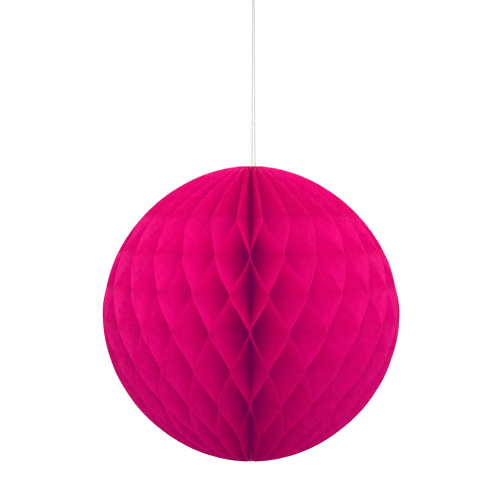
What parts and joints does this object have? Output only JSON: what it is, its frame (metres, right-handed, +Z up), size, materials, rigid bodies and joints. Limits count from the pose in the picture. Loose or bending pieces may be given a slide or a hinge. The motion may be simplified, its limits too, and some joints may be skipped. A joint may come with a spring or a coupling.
{
  "type": "paper honeycomb ball",
  "caption": "Hanging tissue-paper honeycomb ball: glued zigzag leaves fanned round a vertical spine between cover boards, with a doubled hanging thread.",
  "frame": {"origin": "centre of the open ball, on the spine", "axes": "+Z up along the spine towards the hanging thread; -Y is the front, and the cover boards meet in the plane X = 0 on the +Y side"},
  "size_m": [0.203, 0.2027, 0.345],
  "materials": {
    "tissue": "matt, slightly translucent hot pink tissue",
    "cover_card": "matt pink card",
    "tape": "clear double-sided tape",
    "thread": "off-white twisted thread"
  },
  "bodies": {
    "side_a": {"cover_board_a": "cover_card", "closing_tape_upper": "tape", "closing_tape_lower": "tape", "top_stitch": "thread", "bottom_stitch": "thread", "thread_hitch": "thread", "hanging_thread": "thread", "hanging_knot": "thread"},
    "side_b": {"cover_board_b": "cover_card"},
    "leaf_01": {"leaf_01": "tissue"},
    "leaf_02": {"leaf_02": "tissue"},
    "leaf_03": {"leaf_03": "tissue"},
    "leaf_04": {"leaf_04": "tissue"},
    "leaf_05": {"leaf_05": "tissue"},
    "leaf_06": {"leaf_06": "tissue"},
    "leaf_07": {"leaf_07": "tissue"},
    "leaf_08": {"leaf_08": "tissue"},
    "leaf_09": {"leaf_09": "tissue"},
    "leaf_10": {"leaf_10": "tissue"},
    "leaf_11": {"leaf_11": "tissue"},
    "leaf_12": {"leaf_12": "tissue"},
    "leaf_13": {"leaf_13": "tissue"},
    "leaf_14": {"leaf_14": "tissue"},
    "leaf_15": {"leaf_15": "tissue"},
    "leaf_16": {"leaf_16": "tissue"},
    "leaf_17": {"leaf_17": "tissue"},
    "leaf_18": {"leaf_18": "tissue"},
    "leaf_19": {"leaf_19": "tissue"},
    "leaf_20": {"leaf_20": "tissue"},
    "leaf_21": {"leaf_21": "tissue"},
    "leaf_22": {"leaf_22": "tissue"},
    "leaf_23": {"leaf_23": "tissue"},
    "leaf_24": {"leaf_24": "tissue"},
    "leaf_25": {"leaf_25": "tissue"},
    "leaf_26": {"leaf_26": "tissue"},
    "leaf_27": {"leaf_27": "tissue"},
    "leaf_28": {"leaf_28": "tissue"},
    "leaf_29": {"leaf_29": "tissue"},
    "leaf_30": {"leaf_30": "tissue"},
    "leaf_31": {"leaf_31": "tissue"},
    "leaf_32": {"leaf_32": "tissue"},
    "leaf_33": {"leaf_33": "tissue"},
    "leaf_34": {"leaf_34": "tissue"},
    "leaf_35": {"leaf_35": "tissue"},
    "leaf_36": {"leaf_36": "tissue"},
    "leaf_37": {"leaf_37": "tissue"},
    "leaf_38": {"leaf_38": "tissue"},
    "leaf_39": {"leaf_39": "tissue"},
    "leaf_40": {"leaf_40": "tissue"},
    "leaf_41": {"leaf_41": "tissue"},
    "leaf_42": {"leaf_42": "tissue"},
    "leaf_43": {"leaf_43": "tissue"},
    "leaf_44": {"leaf_44": "tissue"},
    "leaf_45": {"leaf_45": "tissue"},
    "leaf_46": {"leaf_46": "tissue"},
    "leaf_47": {"leaf_47": "tissue"},
    "leaf_48": {"leaf_48": "tissue"},
    "leaf_49": {"leaf_49": "tissue"},
    "leaf_50": {"leaf_50": "tissue"}
  },
  "joints": [
    {"name": "fold", "type": "hinge", "parent": "side_a", "child": "side_b", "pos_m": [0, 0, 0], "axis": [0, 0, 1], "range_deg": [-351, 0]},
    {"name": "leaf_01_turn", "type": "hinge", "parent": "side_a", "child": "leaf_01", "pos_m": [0, 0, 0], "axis": [0, 0, 1], "range_deg": [-3.52, 0], "deforming": ["leaf_01"]},
    {"name": "leaf_02_turn", "type": "hinge", "parent": "side_a", "child": "leaf_02", "pos_m": [0, 0, 0], "axis": [0, 0, 1], "range_deg": [-10.54, 0], "deforming": ["leaf_02"]},
    {"name": "leaf_03_turn", "type": "hinge", "parent": "side_a", "child": "leaf_03", "pos_m": [0, 0, 0], "axis": [0, 0, 1], "range_deg": [-17.56, 0], "deforming": ["leaf_03"]},
    {"name": "leaf_04_turn", "type": "hinge", "parent": "side_a", "child": "leaf_04", "pos_m": [0, 0, 0], "axis": [0, 0, 1], "range_deg": [-24.58, 0], "deforming": ["leaf_04"]},
    {"name": "leaf_05_turn", "type": "hinge", "parent": "side_a", "child": "leaf_05", "pos_m": [0, 0, 0], "axis": [0, 0, 1], "range_deg": [-31.6, 0], "deforming": ["leaf_05"]},
    {"name": "leaf_06_turn", "type": "hinge", "parent": "side_a", "child": "leaf_06", "pos_m": [0, 0, 0], "axis": [0, 0, 1], "range_deg": [-38.62, 0], "deforming": ["leaf_06"]},
    {"name": "leaf_07_turn", "type": "hinge", "parent": "side_a", "child": "leaf_07", "pos_m": [0, 0, 0], "axis": [0, 0, 1], "range_deg": [-45.64, 0], "deforming": ["leaf_07"]},
    {"name": "leaf_08_turn", "type": "hinge", "parent": "side_a", "child": "leaf_08", "pos_m": [0, 0, 0], "axis": [0, 0, 1], "range_deg": [-52.66, 0], "deforming": ["leaf_08"]},
    {"name": "leaf_09_turn", "type": "hinge", "parent": "side_a", "child": "leaf_09", "pos_m": [0, 0, 0], "axis": [0, 0, 1], "range_deg": [-59.68, 0], "deforming": ["leaf_09"]},
    {"name": "leaf_10_turn", "type": "hinge", "parent": "side_a", "child": "leaf_10", "pos_m": [0, 0, 0], "axis": [0, 0, 1], "range_deg": [-66.7, 0], "deforming": ["leaf_10"]},
    {"name": "leaf_11_turn", "type": "hinge", "parent": "side_a", "child": "leaf_11", "pos_m": [0, 0, 0], "axis": [0, 0, 1], "range_deg": [-73.72, 0], "deforming": ["leaf_11"]},
    {"name": "leaf_12_turn", "type": "hinge", "parent": "side_a", "child": "leaf_12", "pos_m": [0, 0, 0], "axis": [0, 0, 1], "range_deg": [-80.74, 0], "deforming": ["leaf_12"]},
    {"name": "leaf_13_turn", "type": "hinge", "parent": "side_a", "child": "leaf_13", "pos_m": [0, 0, 0], "axis": [0, 0, 1], "range_deg": [-87.76, 0], "deforming": ["leaf_13"]},
    {"name": "leaf_14_turn", "type": "hinge", "parent": "side_a", "child": "leaf_14", "pos_m": [0, 0, 0], "axis": [0, 0, 1], "range_deg": [-94.78, 0], "deforming": ["leaf_14"]},
    {"name": "leaf_15_turn", "type": "hinge", "parent": "side_a", "child": "leaf_15", "pos_m": [0, 0, 0], "axis": [0, 0, 1], "range_deg": [-101.8, 0], "deforming": ["leaf_15"]},
    {"name": "leaf_16_turn", "type": "hinge", "parent": "side_a", "child": "leaf_16", "pos_m": [0, 0, 0], "axis": [0, 0, 1], "range_deg": [-108.82, 0], "deforming": ["leaf_16"]},
    {"name": "leaf_17_turn", "type": "hinge", "parent": "side_a", "child": "leaf_17", "pos_m": [0, 0, 0], "axis": [0, 0, 1], "range_deg": [-115.84, 0], "deforming": ["leaf_17"]},
    {"name": "leaf_18_turn", "type": "hinge", "parent": "side_a", "child": "leaf_18", "pos_m": [0, 0, 0], "axis": [0, 0, 1], "range_deg": [-122.86, 0], "deforming": ["leaf_18"]},
    {"name": "leaf_19_turn", "type": "hinge", "parent": "side_a", "child": "leaf_19", "pos_m": [0, 0, 0], "axis": [0, 0, 1], "range_deg": [-129.88, 0], "deforming": ["leaf_19"]},
    {"name": "leaf_20_turn", "type": "hinge", "parent": "side_a", "child": "leaf_20", "pos_m": [0, 0, 0], "axis": [0, 0, 1], "range_deg": [-136.9, 0], "deforming": ["leaf_20"]},
    {"name": "leaf_21_turn", "type": "hinge", "parent": "side_a", "child": "leaf_21", "pos_m": [0, 0, 0], "axis": [0, 0, 1], "range_deg": [-143.92, 0], "deforming": ["leaf_21"]},
    {"name": "leaf_22_turn", "type": "hinge", "parent": "side_a", "child": "leaf_22", "pos_m": [0, 0, 0], "axis": [0, 0, 1], "range_deg": [-150.94, 0], "deforming": ["leaf_22"]},
    {"name": "leaf_23_turn", "type": "hinge", "parent": "side_a", "child": "leaf_23", "pos_m": [0, 0, 0], "axis": [0, 0, 1], "range_deg": [-157.96, 0], "deforming": ["leaf_23"]},
    {"name": "leaf_24_turn", "type": "hinge", "parent": "side_a", "child": "leaf_24", "pos_m": [0, 0, 0], "axis": [0, 0, 1], "range_deg": [-164.98, 0], "deforming": ["leaf_24"]},
    {"name": "leaf_25_turn", "type": "hinge", "parent": "side_a", "child": "leaf_25", "pos_m": [0, 0, 0], "axis": [0, 0, 1], "range_deg": [-172, 0], "deforming": ["leaf_25"]},
    {"name": "leaf_26_turn", "type": "hinge", "parent": "side_a", "child": "leaf_26", "pos_m": [0, 0, 0], "axis": [0, 0, 1], "range_deg": [-179.02, 0], "deforming": ["leaf_26"]},
    {"name": "leaf_27_turn", "type": "hinge", "parent": "side_a", "child": "leaf_27", "pos_m": [0, 0, 0], "axis": [0, 0, 1], "range_deg": [-186.04, 0], "deforming": ["leaf_27"]},
    {"name": "leaf_28_turn", "type": "hinge", "parent": "side_a", "child": "leaf_28", "pos_m": [0, 0, 0], "axis": [0, 0, 1], "range_deg": [-193.06, 0], "deforming": ["leaf_28"]},
    {"name": "leaf_29_turn", "type": "hinge", "parent": "side_a", "child": "leaf_29", "pos_m": [0, 0, 0], "axis": [0, 0, 1], "range_deg": [-200.08, 0], "deforming": ["leaf_29"]},
    {"name": "leaf_30_turn", "type": "hinge", "parent": "side_a", "child": "leaf_30", "pos_m": [0, 0, 0], "axis": [0, 0, 1], "range_deg": [-207.1, 0], "deforming": ["leaf_30"]},
    {"name": "leaf_31_turn", "type": "hinge", "parent": "side_a", "child": "leaf_31", "pos_m": [0, 0, 0], "axis": [0, 0, 1], "range_deg": [-214.12, 0], "deforming": ["leaf_31"]},
    {"name": "leaf_32_turn", "type": "hinge", "parent": "side_a", "child": "leaf_32", "pos_m": [0, 0, 0], "axis": [0, 0, 1], "range_deg": [-221.14, 0], "deforming": ["leaf_32"]},
    {"name": "leaf_33_turn", "type": "hinge", "parent": "side_a", "child": "leaf_33", "pos_m": [0, 0, 0], "axis": [0, 0, 1], "range_deg": [-228.16, 0], "deforming": ["leaf_33"]},
    {"name": "leaf_34_turn", "type": "hinge", "parent": "side_a", "child": "leaf_34", "pos_m": [0, 0, 0], "axis": [0, 0, 1], "range_deg": [-235.18, 0], "deforming": ["leaf_34"]},
    {"name": "leaf_35_turn", "type": "hinge", "parent": "side_a", "child": "leaf_35", "pos_m": [0, 0, 0], "axis": [0, 0, 1], "range_deg": [-242.2, 0], "deforming": ["leaf_35"]},
    {"name": "leaf_36_turn", "type": "hinge", "parent": "side_a", "child": "leaf_36", "pos_m": [0, 0, 0], "axis": [0, 0, 1], "range_deg": [-249.22, 0], "deforming": ["leaf_36"]},
    {"name": "leaf_37_turn", "type": "hinge", "parent": "side_a", "child": "leaf_37", "pos_m": [0, 0, 0], "axis": [0, 0, 1], "range_deg": [-256.24, 0], "deforming": ["leaf_37"]},
    {"name": "leaf_38_turn", "type": "hinge", "parent": "side_a", "child": "leaf_38", "pos_m": [0, 0, 0], "axis": [0, 0, 1], "range_deg": [-263.26, 0], "deforming": ["leaf_38"]},
    {"name": "leaf_39_turn", "type": "hinge", "parent": "side_a", "child": "leaf_39", "pos_m": [0, 0, 0], "axis": [0, 0, 1], "range_deg": [-270.28, 0], "deforming": ["leaf_39"]},
    {"name": "leaf_40_turn", "type": "hinge", "parent": "side_a", "child": "leaf_40", "pos_m": [0, 0, 0], "axis": [0, 0, 1], "range_deg": [-277.3, 0], "deforming": ["leaf_40"]},
    {"name": "leaf_41_turn", "type": "hinge", "parent": "side_a", "child": "leaf_41", "pos_m": [0, 0, 0], "axis": [0, 0, 1], "range_deg": [-284.32, 0], "deforming": ["leaf_41"]},
    {"name": "leaf_42_turn", "type": "hinge", "parent": "side_a", "child": "leaf_42", "pos_m": [0, 0, 0], "axis": [0, 0, 1], "range_deg": [-291.34, 0], "deforming": ["leaf_42"]},
    {"name": "leaf_43_turn", "type": "hinge", "parent": "side_a", "child": "leaf_43", "pos_m": [0, 0, 0], "axis": [0, 0, 1], "range_deg": [-298.36, 0], "deforming": ["leaf_43"]},
    {"name": "leaf_44_turn", "type": "hinge", "parent": "side_a", "child": "leaf_44", "pos_m": [0, 0, 0], "axis": [0, 0, 1], "range_deg": [-305.38, 0], "deforming": ["leaf_44"]},
    {"name": "leaf_45_turn", "type": "hinge", "parent": "side_a", "child": "leaf_45", "pos_m": [0, 0, 0], "axis": [0, 0, 1], "range_deg": [-312.4, 0], "deforming": ["leaf_45"]},
    {"name": "leaf_46_turn", "type": "hinge", "parent": "side_a", "child": "leaf_46", "pos_m": [0, 0, 0], "axis": [0, 0, 1], "range_deg": [-319.42, 0], "deforming": ["leaf_46"]},
    {"name": "leaf_47_turn", "type": "hinge", "parent": "side_a", "child": "leaf_47", "pos_m": [0, 0, 0], "axis": [0, 0, 1], "range_deg": [-326.44, 0], "deforming": ["leaf_47"]},
    {"name": "leaf_48_turn", "type": "hinge", "parent": "side_a", "child": "leaf_48", "pos_m": [0, 0, 0], "axis": [0, 0, 1], "range_deg": [-333.46, 0], "deforming": ["leaf_48"]},
    {"name": "leaf_49_turn", "type": "hinge", "parent": "side_a", "child": "leaf_49", "pos_m": [0, 0, 0], "axis": [0, 0, 1], "range_deg": [-340.48, 0], "deforming": ["leaf_49"]},
    {"name": "leaf_50_turn", "type": "hinge", "parent": "side_a", "child": "leaf_50", "pos_m": [0, 0, 0], "axis": [0, 0, 1], "range_deg": [-347.5, 0], "deforming": ["leaf_50"]}
  ],
  "couplings": [
    {"joint": "leaf_01_turn", "follows": "fold", "ratio": 0.01},
    {"joint": "leaf_02_turn", "follows": "fold", "ratio": 0.03},
    {"joint": "leaf_03_turn", "follows": "fold", "ratio": 0.05},
    {"joint": "leaf_04_turn", "follows": "fold", "ratio": 0.07},
    {"joint": "leaf_05_turn", "follows": "fold", "ratio": 0.09},
    {"joint": "leaf_06_turn", "follows": "fold", "ratio": 0.11},
    {"joint": "leaf_07_turn", "follows": "fold", "ratio": 0.13},
    {"joint": "leaf_08_turn", "follows": "fold", "ratio": 0.15},
    {"joint": "leaf_09_turn", "follows": "fold", "ratio": 0.17},
    {"joint": "leaf_10_turn", "follows": "fold", "ratio": 0.19},
    {"joint": "leaf_11_turn", "follows": "fold", "ratio": 0.21},
    {"joint": "leaf_12_turn", "follows": "fold", "ratio": 0.23},
    {"joint": "leaf_13_turn", "follows": "fold", "ratio": 0.25},
    {"joint": "leaf_14_turn", "follows": "fold", "ratio": 0.27},
    {"joint": "leaf_15_turn", "follows": "fold", "ratio": 0.29},
    {"joint": "leaf_16_turn", "follows": "fold", "ratio": 0.31},
    {"joint": "leaf_17_turn", "follows": "fold", "ratio": 0.33},
    {"joint": "leaf_18_turn", "follows": "fold", "ratio": 0.35},
    {"joint": "leaf_19_turn", "follows": "fold", "ratio": 0.37},
    {"joint": "leaf_20_turn", "follows": "fold", "ratio": 0.39},
    {"joint": "leaf_21_turn", "follows": "fold", "ratio": 0.41},
    {"joint": "leaf_22_turn", "follows": "fold", "ratio": 0.43},
    {"joint": "leaf_23_turn", "follows": "fold", "ratio": 0.45},
    {"joint": "leaf_24_turn", "follows": "fold", "ratio": 0.47},
    {"joint": "leaf_25_turn", "follows": "fold", "ratio": 0.49},
    {"joint": "leaf_26_turn", "follows": "fold", "ratio": 0.51},
    {"joint": "leaf_27_turn", "follows": "fold", "ratio": 0.53},
    {"joint": "leaf_28_turn", "follows": "fold", "ratio": 0.55},
    {"joint": "leaf_29_turn", "follows": "fold", "ratio": 0.57},
    {"joint": "leaf_30_turn", "follows": "fold", "ratio": 0.59},
    {"joint": "leaf_31_turn", "follows": "fold", "ratio": 0.61},
    {"joint": "leaf_32_turn", "follows": "fold", "ratio": 0.63},
    {"joint": "leaf_33_turn", "follows": "fold", "ratio": 0.65},
    {"joint": "leaf_34_turn", "follows": "fold", "ratio": 0.67},
    {"joint": "leaf_35_turn", "follows": "fold", "ratio": 0.69},
    {"joint": "leaf_36_turn", "follows": "fold", "ratio": 0.71},
    {"joint": "leaf_37_turn", "follows": "fold", "ratio": 0.73},
    {"joint": "leaf_38_turn", "follows": "fold", "ratio": 0.75},
    {"joint": "leaf_39_turn", "follows": "fold", "ratio": 0.77},
    {"joint": "leaf_40_turn", "follows": "fold", "ratio": 0.79},
    {"joint": "leaf_41_turn", "follows": "fold", "ratio": 0.81},
    {"joint": "leaf_42_turn", "follows": "fold", "ratio": 0.83},
    {"joint": "leaf_43_turn", "follows": "fold", "ratio": 0.85},
    {"joint": "leaf_44_turn", "follows": "fold", "ratio": 0.87},
    {"joint": "leaf_45_turn", "follows": "fold", "ratio": 0.89},
    {"joint": "leaf_46_turn", "follows": "fold", "ratio": 0.91},
    {"joint": "leaf_47_turn", "follows": "fold", "ratio": 0.93},
    {"joint": "leaf_48_turn", "follows": "fold", "ratio": 0.95},
    {"joint": "leaf_49_turn", "follows": "fold", "ratio": 0.97},
    {"joint": "leaf_50_turn", "follows": "fold", "ratio": 0.99}
  ]
}
